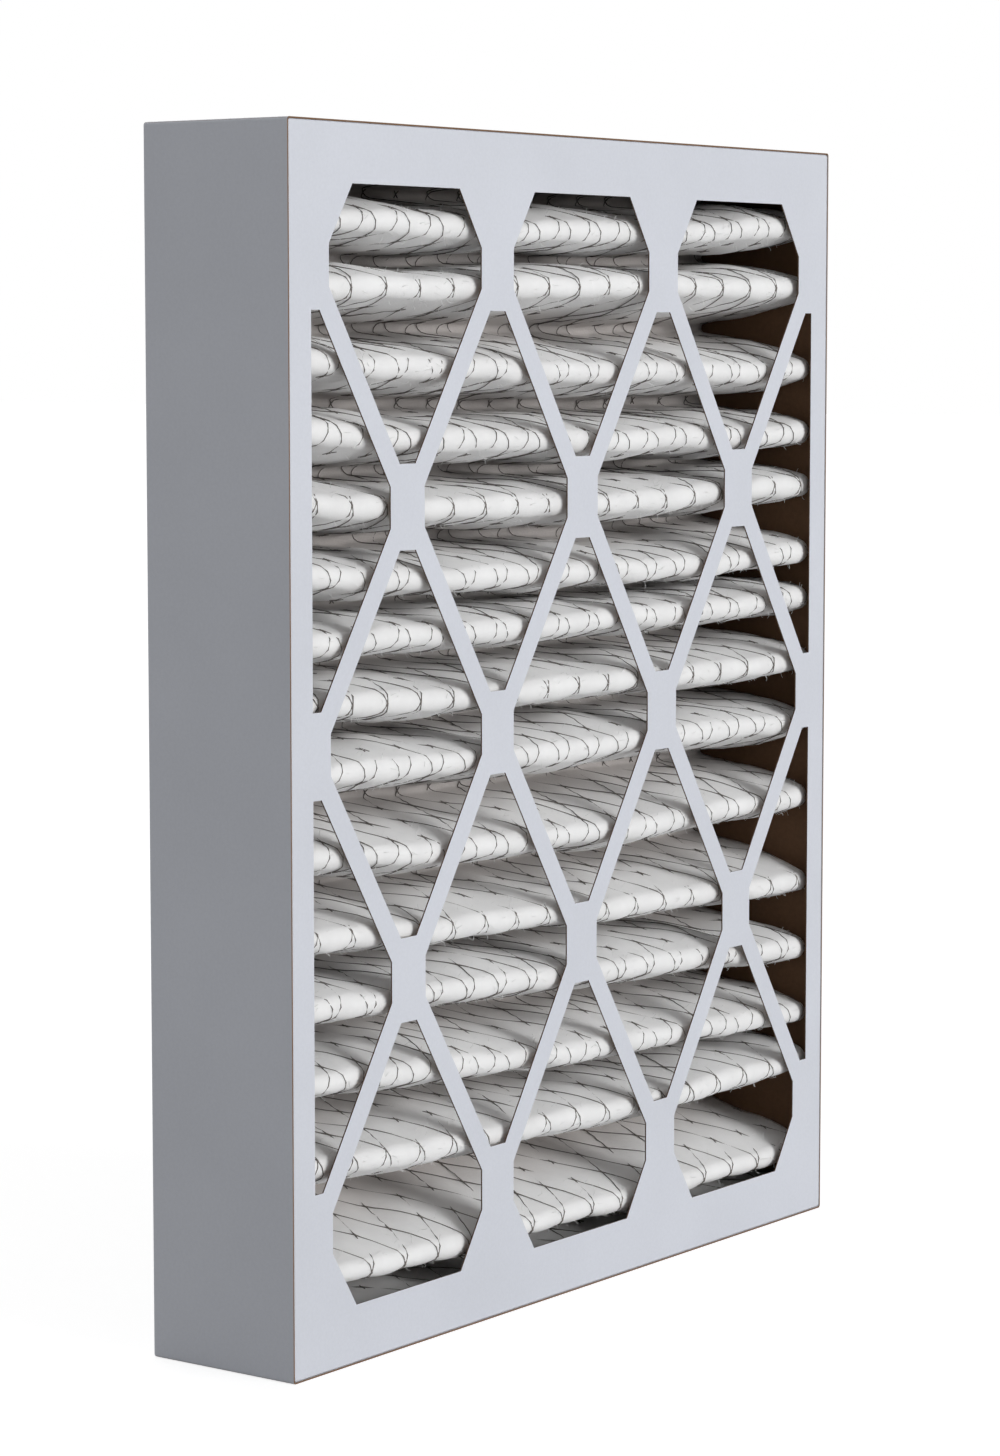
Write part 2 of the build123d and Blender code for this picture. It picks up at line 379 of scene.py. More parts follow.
def felt_material(look):
    """Lofted polyester and cotton non-woven, thermally bonded.

    Carded fibres lie in every direction, which gives a soft matt white with
    fine hair and a little cloudiness. Further back in the pleats the colour is
    painted shade: a greyer brown that stands in for the shade there.
    """
    material, output = new_material("carded_nonwoven_felt")
    tree = material.node_tree
    place = node(tree, "ShaderNodeTexCoord").outputs["Object"]
    spot = node(tree, "ShaderNodeSeparateXYZ", {0: place})
    # Painted shade: on the front of the felt the colour runs from the crest colour to a darker brown towards
    # the back of the pleats, where shade falls.
    depth = node(
        tree, "ShaderNodeMapRange",
        {"Value": spot.outputs[1], "From Min": -0.3 * DEPTH, "From Max": 0.4 * DEPTH},
        interpolation_type="SMOOTHSTEP",
    )
    cloud = node(
        tree, "ShaderNodeTexNoise", {"Vector": place, "Scale": 1 / CLOUD, "Detail": 4, "Roughness": 0.6}
    )
    cloud_tone = node(
        tree, "ShaderNodeMapRange",
        {"Value": cloud.outputs["Fac"], "From Min": 0.3, "From Max": 0.7, "To Min": 0.93, "To Max": 1.02},
    )
    flat = node(tree, "ShaderNodeUVMap", uv_map="flat")
    flat_parts = node(tree, "ShaderNodeSeparateXYZ", {0: flat.outputs[0]})
    in_front = node(tree, "ShaderNodeMath", {0: flat_parts.outputs[0], 1: 0}, operation="GREATER_THAN")
    painted_shade_amount = node(tree, "ShaderNodeMath", {0: depth.outputs[0], 1: in_front.outputs[0]}, operation="MULTIPLY")
    shade = node(
        tree, "ShaderNodeMix", {0: painted_shade_amount.outputs[0], 6: rgba(look.tip), 7: rgba(look.painted_valley_shade)}, data_type="RGBA"
    )
    base = node(
        tree, "ShaderNodeVectorMath",
        {0: shade.outputs[2], "Scale": cloud_tone.outputs[0]}, operation="SCALE",
    )
    # Three crossed sets of stretched noise stand for hair that lies in every direction.
    height = 0.0
    for turn in (0.2, 1.3, 2.4):
        laid = node(tree, "ShaderNodeMapping", {
            "Vector": place, "Rotation": (turn, 0.5 * turn, turn), "Scale": tuple(1 / size for size in HAIR),
        })
        hair = node(
            tree, "ShaderNodeTexNoise",
            {"Vector": laid.outputs[0], "Scale": 1, "Detail": 2, "Distortion": 0.4},
        ).outputs["Fac"]
        height = node(tree, "ShaderNodeMath", {0: height, 1: hair}, operation="ADD").outputs[0]
    bump = node(tree, "ShaderNodeBump", {"Height": height, "Strength": 0.5, "Distance": 0.35 * MM})
    shader = node(
        tree, "ShaderNodeBsdfPrincipled",
        {
            "Base Color": base.outputs[0],
            "Roughness": 0.95,
            "Specular IOR Level": 0.15,
            "Sheen Weight": 0.25,
            "Sheen Roughness": 0.6,
            "Normal": bump.outputs[0],
        },
    )
    tree.links.new(shader.outputs[0], output.inputs[0])
    return material


def wire_material(look):
    """Galvanised steel, slit and stretched.

    Its zinc has dulled, so it shows as an even mid grey with a faint spangle
    and hardly any gloss.
    """
    material, output = new_material("galvanised_expanded_metal")
    tree = material.node_tree
    place = node(tree, "ShaderNodeTexCoord").outputs["Object"]
    spangle = node(
        tree, "ShaderNodeTexNoise", {"Vector": place, "Scale": 1 / SPANGLE, "Detail": 2, "Roughness": 0.5}
    )
    tone = node(
        tree, "ShaderNodeMapRange", {"Value": spangle.outputs["Fac"], "To Min": 0.75, "To Max": 1.25}
    )
    base = node(tree, "ShaderNodeVectorMath", {0: look.metal, "Scale": tone.outputs[0]}, operation="SCALE")
    shader = node(
        tree, "ShaderNodeBsdfPrincipled",
        {"Base Color": base.outputs[0], "Metallic": 0.35, "Roughness": 0.55},
    )
    tree.links.new(shader.outputs[0], output.inputs[0])
    return material


# ---- The pleated sheet ----
def wander(x, stray, n):
    """Smooth wander along x of the nth piece that strays so, the same at every call."""
    size, wavelength, seed = stray
    chance = np.random.default_rng(seed + n)
    total = np.zeros_like(x)
    for octave in range(3):
        phase = chance.uniform(0, 2 * math.pi)
        wave = wavelength * chance.uniform(0.7, 1.4) / (octave + 1)
        total += np.sin(2 * math.pi * x / wave + phase) / (octave + 1.5)
    return size * total / 1.4


def fold_centres(x, thickness):
    """Centres (y, z) and radii of all folds at places x across the width, top to bottom."""
    span = WIDTH / 2 - END_SLACK
    t = x / span
    front_y = -DEPTH / 2 + BOARD + TIP_TO_GRID + thickness / 2 + FOLD_RADIUS
    rear_y = DEPTH / 2 - BOARD - BACK_TO_GRID - thickness / 2 - FOLD_RADIUS
    # Near the side walls each crest rounds back, as the cut end of the felt closes on itself.
    into = np.clip((np.abs(x) - (span - ROUNDED_ENDS)) / ROUNDED_ENDS, 0, 1)
    rounded = ROUNDED_BACK * (1 - np.sqrt(1 - 0.98 * into**2))
    drops = [np.full_like(x, END_FOLD)]
    for n, (left, middle, right) in enumerate(FRONT_FOLDS):
        bow = middle - (left + right) / 2
        lean = (right - left) / 2
        drop = (left + right) / 2 + lean * t + bow * (1 - t**2)
        drops.append(drop * MM + wander(x, FRONT_STRAY, n))
    drops.append(np.full_like(x, HEIGHT - END_FOLD))
    folds = []
    for n, drop in enumerate(drops):
        ends = n in (0, len(drops) - 1)
        swell = 0 if ends else wander(x, RADIUS_STRAY, n)
        radius = np.full_like(x, FOLD_RADIUS) + swell
        set_back = np.abs(wander(x, CREST_STRAY, n))
        folds.append((front_y + rounded + swell + set_back, HEIGHT - drop, radius))
        if n < len(drops) - 1:
            between = (drop + drops[n + 1]) / 2 + wander(x, REAR_STRAY, n)
            folds.append((np.full_like(x, rear_y), HEIGHT - between, np.full_like(x, FOLD_RADIUS)))
    return folds


def sheet_lines(x, look):
    """The sheet's middle line at each x: points (y, z), the front's direction and each row's freedom.

    Rows run from the free edge at the top, round every fold, to the one at the
    bottom. Freedom is 0 at a fold and 1 halfway along a leg. A leg's belly is
    greatest a third of the way back from its crest.
    """
    folds = fold_centres(x, look.thickness)
    enter = [np.full_like(x, math.pi / 2)]
    for n, (near, far) in enumerate(zip(folds, folds[1:])):
        facing = 1 if n % 2 == 0 else -1
        rise, run = far[1] - near[1], far[0] - near[0]
        lean = np.arccos((near[2] + far[2]) / np.hypot(rise, run))
        away = np.arctan2(rise, run) - facing * lean + (0 if facing == 1 else math.pi)
        enter.append(np.mod(away, 2 * math.pi))
    enter.append(np.full_like(x, 1.5 * math.pi))
    tail = DEPTH / 2 - TAIL
    rows = []

    def leg(start, end, angle, first, last, belly):
        steps = np.linspace(0, 1, look.leg_rows + 1)[first : look.leg_rows + last]
        for step in steps:
            behind = step if belly > 0 else 1 - step
            out = abs(belly) * BELLY_SCALE * behind * (1 - behind) ** 2
            y = start[0] + (end[0] - start[0]) * step + out * np.cos(angle)
            z = start[1] + (end[1] - start[1]) * step + out * np.sin(angle)
            rows.append((y, z, angle, math.sin(math.pi * step) ** 1.5))

    def on_fold(fold, facing, angle):
        y, z, radius = fold
        return y + facing * radius * np.cos(angle), z + facing * radius * np.sin(angle)

    start = (np.full_like(x, tail), folds[0][1] + folds[0][2])
    for n, fold in enumerate(folds):
        facing = 1 if n % 2 == 0 else -1
        belly = 0 if n == 0 else -facing * look.belly
        leg(start, on_fold(fold, facing, enter[n]), enter[n], 0 if n == 0 else 1, 0, belly)
        for step in np.linspace(0, 1, look.arc_rows + 1):
            angle = enter[n] + (enter[n + 1] - enter[n]) * step
            rows.append((*on_fold(fold, facing, angle), angle, 0.0))
        start = on_fold(fold, facing, enter[n + 1])
    end = (np.full_like(x, tail), folds[-1][1] - folds[-1][2])
    leg(start, end, enter[-1], 1, 1, 0)
    y, z, angle, free = (np.array(part) for part in zip(*rows))
    return y, z, angle, free


def developed_length(y, z):
    """Distance of each row along the flattened sheet, taken at the middle of the width."""
    column = y.shape[1] // 2
    steps = np.hypot(np.diff(y[:, column]), np.diff(z[:, column]))
    return np.concatenate([[0], np.cumsum(steps)])


def joint_place(look):
    """Place along the flat sheet of a row of joints: the crest of the fold JOINT_FOLD."""
    y, z = sheet_lines(np.zeros(1), look)[:2]
    # The end fold comes first, and a rear fold stands before each front one.
    folds_before = 2 * (JOINT_FOLD + 1)
    row = look.leg_rows + folds_before * (look.arc_rows + look.leg_rows) + look.arc_rows // 2
    return float(developed_length(y, z)[row])


def quilting(along, across, look, wire):
    """How far between strands a point of the flat sheet is: 0 on a strand, 1 in a diamond's middle."""
    u = (along - joint_place(look)) / wire.diamond_along
    v = (across - wire.shift) / wire.diamond_across
    to_strand = np.minimum(np.abs(u + v - np.round(u + v)), np.abs(u - v - np.round(u - v)))
    return 1 - np.exp(-((to_strand / DIMPLE) ** 2))


def felt_surfaces(look, wire):
    """Front and back of the felt as grids of points, with the flat length and places across."""
    span = WIDTH / 2 - END_SLACK
    x = np.linspace(-span, span, look.columns + 1)
    y, z, angle, free = sheet_lines(x, look)
    along = developed_length(y, z)
    lift = np.zeros_like(y)
    for row, freedom in enumerate(free):
        if freedom > 0:
            leg = row // (look.arc_rows + look.leg_rows)
            slanted = x + BILLOW_SLANT * along[row]
            lift[row] = look.billow * freedom * wander(slanted, BILLOW_STRAY, leg)
    y = y + np.cos(angle) * lift
    z = z + np.sin(angle) * lift
    grid_x = np.broadcast_to(x, y.shape)
    down = along[:, None]
    swell = look.puff * (quilting(down, grid_x, look, wire) - QUILT_MEAN)
    # The first and last legs lie along the trays and have no room to swell.
    ends = (along < END_LEG) | (along > along[-1] - END_LEG)
    swell[ends] = np.minimum(swell[ends], 0)
    front = look.thickness / 2 + swell
    # A faint ripple makes up the back, which has no wire.
    ripple = np.sin(grid_x / (11 * MM)) * np.sin(down / (13 * MM))
    back = look.thickness / 2 + 0.25 * look.puff * ripple
    back[ends] = look.thickness / 2
    face = np.stack([grid_x, y + np.cos(angle) * front, z + np.sin(angle) * front], axis=-1)
    rear = np.stack([grid_x, y - np.cos(angle) * back, z - np.sin(angle) * back], axis=-1)
    return face, rear, along, x


def make_felt(context):
    """One closed sheet of felt, finer in front than behind, and the width and length it was cut to.

    Its UV map holds the flat place of each point of the front.
    """
    look, wire = context.scene.filter_felt, context.scene.filter_wire
    face, rear, along, x = felt_surfaces(look, wire)
    rows, columns = face.shape[:2]
    coarse = list(range(0, columns, 3))
    back_start = rows * columns
    points = np.concatenate([face.reshape(-1, 3), rear[:, coarse].reshape(-1, 3)])
    faces = []

    def front_of(row, column):
        return row * columns + column

    def back_of(row, column):
        return back_start + row * len(coarse) + column

    for row in range(rows - 1):
        for column in range(columns - 1):
            faces.append((
                front_of(row, column), front_of(row + 1, column),
                front_of(row + 1, column + 1), front_of(row, column + 1),
            ))
        for column in range(len(coarse) - 1):
            faces.append((
                back_of(row, column), back_of(row, column + 1),
                back_of(row + 1, column + 1), back_of(row + 1, column),
            ))
        last, last_back = columns - 1, len(coarse) - 1
        faces.append((front_of(row, 0), back_of(row, 0), back_of(row + 1, 0), front_of(row + 1, 0)))
        faces.append((
            front_of(row, last), front_of(row + 1, last),
            back_of(row + 1, last_back), back_of(row, last_back),
        ))
    # The free edges at the top and bottom are closed by strips of wide faces.
    for row, flip in ((0, False), (rows - 1, True)):
        for n, column in enumerate(coarse[:-1]):
            rim = [front_of(row, c) for c in range(column, coarse[n + 1] + 1)]
            rim += [back_of(row, n + 1), back_of(row, n)]
            faces.append(tuple(rim[::-1] if flip else rim))
    mesh = bpy.data.meshes.new("media_felt")
    mesh.from_pydata(points.tolist(), [], faces)
    # The flat map covers the front alone; everything else is parked beside it.
    flat = np.zeros((len(points), 2))
    flat[:back_start, 0] = np.repeat(along, columns)
    flat[:back_start, 1] = np.tile(x, rows)
    corner = np.empty(len(mesh.loops), np.int32)
    mesh.loops.foreach_get("vertex_index", corner)
    uv = flat[corner]
    corners = np.array([len(f) for f in faces])
    is_front = np.array([max(f) < back_start for f in faces])
    uv[~np.repeat(is_front, corners)] = (-1, -1)
    mesh.uv_layers.new(name="flat").data.foreach_set("uv", uv.ravel())
    mesh.shade_smooth()
    felt = bpy.data.objects.new("media_felt", mesh)
    context.collection.objects.link(felt)
    mesh.materials.append(felt_material(look))
    return felt, (float(x[-1] - x[0]), float(along[-1]))


# ---- Geometry Nodes ----
def node_tree(name, sockets):
    """A new geometry tree with a geometry input and output and named inputs."""
    tree = bpy.data.node_groups.new(name, "GeometryNodeTree")
    tree.interface.new_socket("Geometry", in_out="INPUT", socket_type="NodeSocketGeometry")
    for label, kind in sockets.items():
        tree.interface.new_socket(label, in_out="INPUT", socket_type=f"NodeSocket{kind}")
    tree.interface.new_socket("Geometry", in_out="OUTPUT", socket_type="NodeSocketGeometry")
    return tree, node(tree, "NodeGroupInput"), node(tree, "NodeGroupOutput")


def grown_mesh(context, name, tree, values, material):
    """Runs a geometry tree on an empty mesh and keeps the result as a plain mesh object."""
    grown = bpy.data.objects.new(name, bpy.data.meshes.new(name))
    context.collection.objects.link(grown)
    modifier = grown.modifiers.new(name, "NODES")
    modifier.node_group = tree
    for item in tree.interface.items_tree:
        if item.in_out == "INPUT" and item.name in values:
            modifier[item.identifier] = values[item.name]
    evaluated = grown.evaluated_get(context.evaluated_depsgraph_get())
    mesh = bpy.data.meshes.new_from_object(evaluated)
    grown.modifiers.clear()
    mesh.name = name
    grown.data = mesh
    if not mesh.materials:
        mesh.materials.append(material)
    return grown


def flat_length(felt):
    """Length of the felt when it is flattened, from its flat map."""
    flat = np.empty(len(felt.data.loops) * 2)
    felt.data.uv_layers["flat"].data.foreach_get("uv", flat)
    return float(flat[0::2].max())


# How the wire lies, step by step: a value's name, an operation, and the numbers or
# values it works on. Names with a capital are the tree's inputs. A point is at half
# grid steps (i, j) before the lattice is laid flat and at the flat place (u, v) after.
WIRE_SUMS = (
    # Where a point of the grid lies on the flat sheet.
    ("both", "ADD", "i", "j"),
    ("down", "MULTIPLY", "both", "Diamond along"),
    ("flat u", "ADD", "down", "Joint along"),
    ("difference", "SUBTRACT", "i", "j"),
    ("sideways", "MULTIPLY", "difference", "Diamond across"),
    ("flat v", "ADD", "sideways", "Joint across"),
    # Which points are off the sheet.
    ("u from middle", "SUBTRACT", "u", "Middle"),
    ("u reach", "ABSOLUTE", "u from middle"),
    ("off length", "GREATER_THAN", "u reach", "Half length"),
    ("v reach", "ABSOLUTE", "v"),
    ("off width", "GREATER_THAN", "v reach", "Half width"),
    ("off sheet", "MAXIMUM", "off length", "off width"),
    # How far a strand's middle stands out of the loft, in strands: joints and crests are
    # proud, and a leg's wire only in patches, more of it in one family than the other.
    ("u from joint", "SUBTRACT", "u", "Joint along"),
    ("u diamonds", "DIVIDE", "u from joint", "Diamond along"),
    ("u halves", "MULTIPLY", "u diamonds", 2.0),
    ("off joint", "PINGPONG", "u halves", 0.5),
    ("sinking", "MULTIPLY", "off joint", 5.0),
    ("near joint", "SUBTRACT", 0.6, "sinking"),
    ("v from joint", "SUBTRACT", "v", "Joint across"),
    ("v diamonds", "DIVIDE", "v from joint", "Diamond across"),
    ("line", "SUBTRACT", "u diamonds", "v diamonds"),
    ("off line", "PINGPONG", "line", 0.5),
    ("other family", "GREATER_THAN", "off line", 0.02),
    ("sunk", "MULTIPLY", "other family", 0.5),
    ("patch from mean", "SUBTRACT", "patch", 0.5),
    ("patchy", "MULTIPLY", "patch from mean", 5.0),
    ("leg patches", "ADD", "patchy", 0.15),
    ("on leg", "SUBTRACT", "leg patches", "sunk"),
    ("crest patches", "MULTIPLY", "patchy", 0.3),
    ("on crest", "ADD", "crest", "crest patches"),
    ("proudest", "MAXIMUM", "near joint", "on crest"),
    ("proud", "MAXIMUM", "proudest", "on leg"),
    ("hidden", "LESS_THAN", "proud", -0.55),
    ("limited", "MINIMUM", "proud", 0.8),
    ("lift", "MULTIPLY", "limited", "Strand"),
    # Radii of a strand and of a joint's knot.
    ("strand radius", "MULTIPLY", "Strand", 0.55),
    ("knot radius", "MULTIPLY", "Strand", 0.75),
)
PATCH = 50 * MM                 # size of the patches in which the felt has swallowed the wire
CREST_FRONT = 4 * MM            # how far behind the grid's face crests start to sink in
CREST_BACK = 16 * MM            # and where their lift ends


def wire_tree():
    """Expanded metal laid on a surface.

    A square grid is turned into flat diamonds, cut to the sheet, divided where
    it has to bend, laid on the surface through its flat map, and given a
    strand along each edge and a knot at each joint.
    """
    tree, given, output = node_tree("expanded_metal", {
        "Surface": "Object", "Half steps": "Float", "Joints": "Int",
        "Diamond along": "Float", "Diamond across": "Float",
        "Middle": "Float", "Half length": "Float", "Half width": "Float",
        "Joint along": "Float", "Joint across": "Float", "Strand": "Float", "Metal": "Material",
    })
    position = node(tree, "GeometryNodeInputPosition").outputs[0]
    normal = node(tree, "GeometryNodeInputNormal").outputs[0]
    surface = node(tree, "GeometryNodeObjectInfo", {"Object": given.outputs["Surface"]})
    flat_map = node(tree, "GeometryNodeInputNamedAttribute", {"Name": "flat"}, data_type="FLOAT_VECTOR")
    on_felt, facing = (
        node(
            tree, "GeometryNodeSampleUVSurface",
            {"Mesh": surface.outputs["Geometry"], "Value": value,
             "UV Map": flat_map.outputs[0], "Sample UV": position},
            data_type="FLOAT_VECTOR",
        ).outputs["Value"]
        for value in (position, normal)
    )
    felt_place = node(tree, "ShaderNodeSeparateXYZ", {0: on_felt})
    crest = node(
        tree, "ShaderNodeMapRange",
        {"Value": felt_place.outputs[1], "From Min": LOW[1] + CREST_FRONT,
         "From Max": LOW[1] + CREST_BACK, "To Min": 1.15, "To Max": -1.6},
    )
    patch = node(tree, "ShaderNodeTexNoise", {"Vector": position, "Scale": 1 / PATCH, "Detail": 1.0})
    parts = node(tree, "ShaderNodeSeparateXYZ", {0: position}).outputs
    known = dict(given.outputs.items())
    known.update(i=parts[0], j=parts[1], u=parts[0], v=parts[1])
    known.update(patch=patch.outputs["Fac"], crest=crest.outputs[0])
    for name, operation, *feeds in WIRE_SUMS:
        inputs = {n: known.get(feed, feed) for n, feed in enumerate(feeds)}
        known[name] = node(tree, "ShaderNodeMath", inputs, operation=operation).outputs[0]

    lattice = node(
        tree, "GeometryNodeMeshGrid",
        {"Size X": known["Half steps"], "Size Y": known["Half steps"],
         "Vertices X": known["Joints"], "Vertices Y": known["Joints"]},
    )
    flat = node(tree, "ShaderNodeCombineXYZ", {0: known["flat u"], 1: known["flat v"]})
    laid_flat = node(
        tree, "GeometryNodeSetPosition", {"Geometry": lattice.outputs["Mesh"], "Position": flat.outputs[0]}
    )
    cut = node(
        tree, "GeometryNodeDeleteGeometry",
        {"Geometry": laid_flat.outputs[0], "Selection": known["off sheet"]},
        domain="POINT", mode="ALL",
    )
    open_lattice = node(
        tree, "GeometryNodeDeleteGeometry",
        {"Geometry": cut.outputs[0], "Selection": True}, domain="FACE", mode="ONLY_FACE",
    )
    divided = node(tree, "GeometryNodeSubdivideMesh", {"Mesh": open_lattice.outputs[0], "Level": 3})
    # A strand is widest beside its joints.
    girth = node(
        tree, "ShaderNodeMapRange",
        {"Value": known["off joint"], "From Min": 0.0, "From Max": 0.3, "To Min": 1.2, "To Max": 0.85},
    )
    sized = node(
        tree, "GeometryNodeStoreNamedAttribute",
        {"Geometry": divided.outputs[0], "Name": "girth", "Value": girth.outputs[0]},
        data_type="FLOAT", domain="POINT",
    )
    shown = node(
        tree, "GeometryNodeDeleteGeometry",
        {"Geometry": sized.outputs[0], "Selection": known["hidden"]},
        domain="POINT", mode="ALL",
    )
    raised = node(tree, "ShaderNodeVectorMath", {0: facing, "Scale": known["lift"]}, operation="SCALE")
    place = node(tree, "ShaderNodeVectorMath", {0: on_felt, 1: raised.outputs[0]}, operation="ADD")
    placed, joints = (
        node(tree, "GeometryNodeSetPosition", {"Geometry": mesh.outputs[0], "Position": place.outputs[0]})
        for mesh in (shown, open_lattice)
    )
    strands = node(tree, "GeometryNodeMeshToCurve", {"Mesh": placed.outputs[0]})
    section = node(
        tree, "GeometryNodeCurvePrimitiveCircle", {"Resolution": 3, "Radius": known["strand radius"]}
    )
    girth_here = node(tree, "GeometryNodeInputNamedAttribute", {"Name": "girth"}, data_type="FLOAT")
    tubes = node(
        tree, "GeometryNodeCurveToMesh",
        {"Curve": strands.outputs[0], "Profile Curve": section.outputs["Curve"],
         "Scale": girth_here.outputs[0], "Fill Caps": True},
    )
    knot = node(
        tree, "GeometryNodeMeshUVSphere", {"Segments": 4, "Rings": 3, "Radius": known["knot radius"]}
    )
    # A joint is a short bridge of metal, longer across the filter.
    knot_shape = node(
        tree, "GeometryNodeTransform", {"Geometry": knot.outputs[0], "Scale": (1.7, 1.0, 1.0)}
    )
    knots = node(
        tree, "GeometryNodeInstanceOnPoints",
        {"Points": joints.outputs[0], "Instance": knot_shape.outputs[0]},
    )
    joined = node(tree, "GeometryNodeJoinGeometry")
    tree.links.new(tubes.outputs[0], joined.inputs[0])
    tree.links.new(knots.outputs[0], joined.inputs[0])
    real = node(tree, "GeometryNodeRealizeInstances", {"Geometry": joined.outputs[0]})
    finished = node(
        tree, "GeometryNodeSetMaterial", {"Geometry": real.outputs[0], "Material": given.outputs["Metal"]}
    )
    tree.links.new(finished.outputs[0], output.inputs[0])
    return tree


def make_wire(context):
    """The expanded metal, laid on the front of the felt."""
    look = context.scene.filter_wire
    felt = bpy.data.objects["media_felt"]
    metal = wire_material(look)
    length, width = flat_length(felt), WIDTH - 2 * END_SLACK
    # The lattice grows from the joint nearest the middle of the sheet, and reaches past its corners.
    joint = joint_place(context.scene.filter_felt)
    joint += round((length / 2 - joint) / look.diamond_along) * look.diamond_along
    cells = math.ceil(length / look.diamond_along) + math.ceil(width / look.diamond_across)
    steps = 2 * (math.ceil(cells / 2) + 2)
    return grown_mesh(
        context, "expanded_metal", wire_tree(),
        {
            "Surface": felt,
            "Half steps": steps / 2,
            "Joints": steps + 1,
            "Diamond along": look.diamond_along,
            "Diamond across": look.diamond_across,
            "Middle": length / 2,
            "Half length": length / 2 - MM,
            "Half width": width / 2 - MM,
            "Joint along": joint,
            "Joint across": look.shift,
            "Strand": look.strand,
            "Metal": metal,
        },
        metal,
    )


def fibre_tree():
    """Loose fibres scattered over a part of a surface, each a bent hair that leans its own way."""
    tree, given, output = node_tree("loose_fibres", {
        "Surface": "Object", "Density": "Float", "Behind": "Float", "Half width": "Float",
        "First": "Float", "Last": "Float", "Length": "Float", "Thickness": "Float",
        "Seed": "Int", "Felt": "Material",
    })
    surface = node(tree, "GeometryNodeObjectInfo", {"Object": given.outputs["Surface"]})
    spot = node(tree, "ShaderNodeSeparateXYZ", {0: node(tree, "GeometryNodeInputPosition").outputs[0]})
    flat = node(tree, "GeometryNodeInputNamedAttribute", {"Name": "flat"}, data_type="FLOAT_VECTOR")
    flat_parts = node(tree, "ShaderNodeSeparateXYZ", {0: flat.outputs[0]})
    across = node(tree, "ShaderNodeMath", {0: spot.outputs[0]}, operation="ABSOLUTE")
    # Roots keep to the crests, off the side walls and off the first and last legs.
    chosen = 1.0
    for value, test, limit in (
        (spot.outputs[1], "LESS_THAN", "Behind"),
        (across.outputs[0], "LESS_THAN", "Half width"),
        (flat_parts.outputs[0], "GREATER_THAN", "First"),
        (flat_parts.outputs[0], "LESS_THAN", "Last"),
    ):
        meets = node(tree, "ShaderNodeMath", {0: value, 1: given.outputs[limit]}, operation=test).outputs[0]
        chosen = node(tree, "ShaderNodeMath", {0: chosen, 1: meets}, operation="MULTIPLY").outputs[0]
    roots = node(
        tree, "GeometryNodeDistributePointsOnFaces",
        {"Mesh": surface.outputs["Geometry"], "Selection": chosen,
         "Density": given.outputs["Density"], "Seed": given.outputs["Seed"]},
    )
    # The longest hair rises straight for half its length and then bends over to one side.
    rise, top, radius = (
        node(tree, "ShaderNodeMath", {0: given.outputs[size], 1: share}, operation="MULTIPLY").outputs[0]
        for size, share in (("Length", 0.5), ("Length", 0.65), ("Thickness", 0.5))
    )
    bend = node(
        tree, "GeometryNodeCurveQuadraticBezier",
        {"Resolution": 2, "Start": (0.0, 0.0, 0.0),
         "Middle": node(tree, "ShaderNodeCombineXYZ", {2: rise}).outputs[0],
         "End": node(tree, "ShaderNodeCombineXYZ", {0: rise, 2: top}).outputs[0]},
    )
    section = node(tree, "GeometryNodeCurvePrimitiveCircle", {"Resolution": 3, "Radius": radius})
    hair = node(
        tree, "GeometryNodeCurveToMesh",
        {"Curve": bend.outputs[0], "Profile Curve": section.outputs["Curve"], "Fill Caps": True},
    )
    # It leans from the surface's normal by up to one and a half times its length each way.
    stray = node(
        tree, "FunctionNodeRandomValue",
        {0: (-1.5, -1.5, -1.5), 1: (1.5, 1.5, 1.5), "Seed": given.outputs["Seed"]},
        data_type="FLOAT_VECTOR",
    )
    lean = node(
        tree, "ShaderNodeVectorMath", {0: roots.outputs["Normal"], 1: stray.outputs[0]}, operation="ADD"
    )
    turn = node(tree, "FunctionNodeAlignRotationToVector", {"Vector": lean.outputs[0]}, axis="Z")
    # The shortest hairs are a third as long as the longest.
    size = node(
        tree, "FunctionNodeRandomValue", {2: 0.35, 3: 1.0, "Seed": given.outputs["Seed"]}, data_type="FLOAT"
    )
    hairs = node(
        tree, "GeometryNodeInstanceOnPoints",
        {"Points": roots.outputs["Points"], "Instance": hair.outputs[0],
         "Rotation": turn.outputs[0], "Scale": size.outputs[1]},
    )
    real = node(tree, "GeometryNodeRealizeInstances", {"Geometry": hairs.outputs[0]})
    finished = node(
        tree, "GeometryNodeSetMaterial", {"Geometry": real.outputs[0], "Material": given.outputs["Felt"]}
    )
    tree.links.new(finished.outputs[0], output.inputs[0])
    return tree


def make_fibres(context):
    """Loose fibres on the crests of the felt."""
    look = context.scene.filter_fibres
    felt = bpy.data.objects["media_felt"]
    material = felt.data.materials[0]
    return grown_mesh(
        context, "loose_fibres", fibre_tree(),
        {
            "Surface": felt,
            "Density": look.density,
            "Behind": LOW[1] + look.reach,
            "Half width": WIDTH / 2 - BARE_SIDES,
            "First": DEPTH,
            "Last": flat_length(felt) - DEPTH,
            "Length": look.length,
            "Thickness": look.thickness,
            "Seed": look.seed,
            "Felt": material,
        },
        material,
    )


# ---- Stage ----
CAMERA_PLACE = Vector((-1.728, -1.258, 0.5188))
CAMERA_LOOK = Vector((0.8025, 0.58835, -0.0998))
CAMERA_LENS = 97.45             # millimetres
SENSOR = 36                     # long side of the picture, in millimetres
FLOOR_SIZE = 40.0
# Each light's name in the settings, where it comes from, and its spread in degrees.
LIGHTS = (
    ("key", (0.12, -1.0, 0.15), 34),
    ("fill", (-0.7, -0.7, 0.35), 60),
    ("back", (0.5, 1.0, 1.1), 80),
)


def make_camera(context):
    """A long lens over two metres away, left of the front."""
    data = bpy.data.cameras.new("camera")
    data.lens = CAMERA_LENS
    data.sensor_width = SENSOR
    data.dof.use_dof = False
    camera = bpy.data.objects.new("camera", data)
    context.collection.objects.link(camera)
    camera.location = CAMERA_PLACE
    camera.rotation_mode = "QUATERNION"
    camera.rotation_quaternion = CAMERA_LOOK.to_track_quat("-Z", "Y")
    context.scene.camera = camera


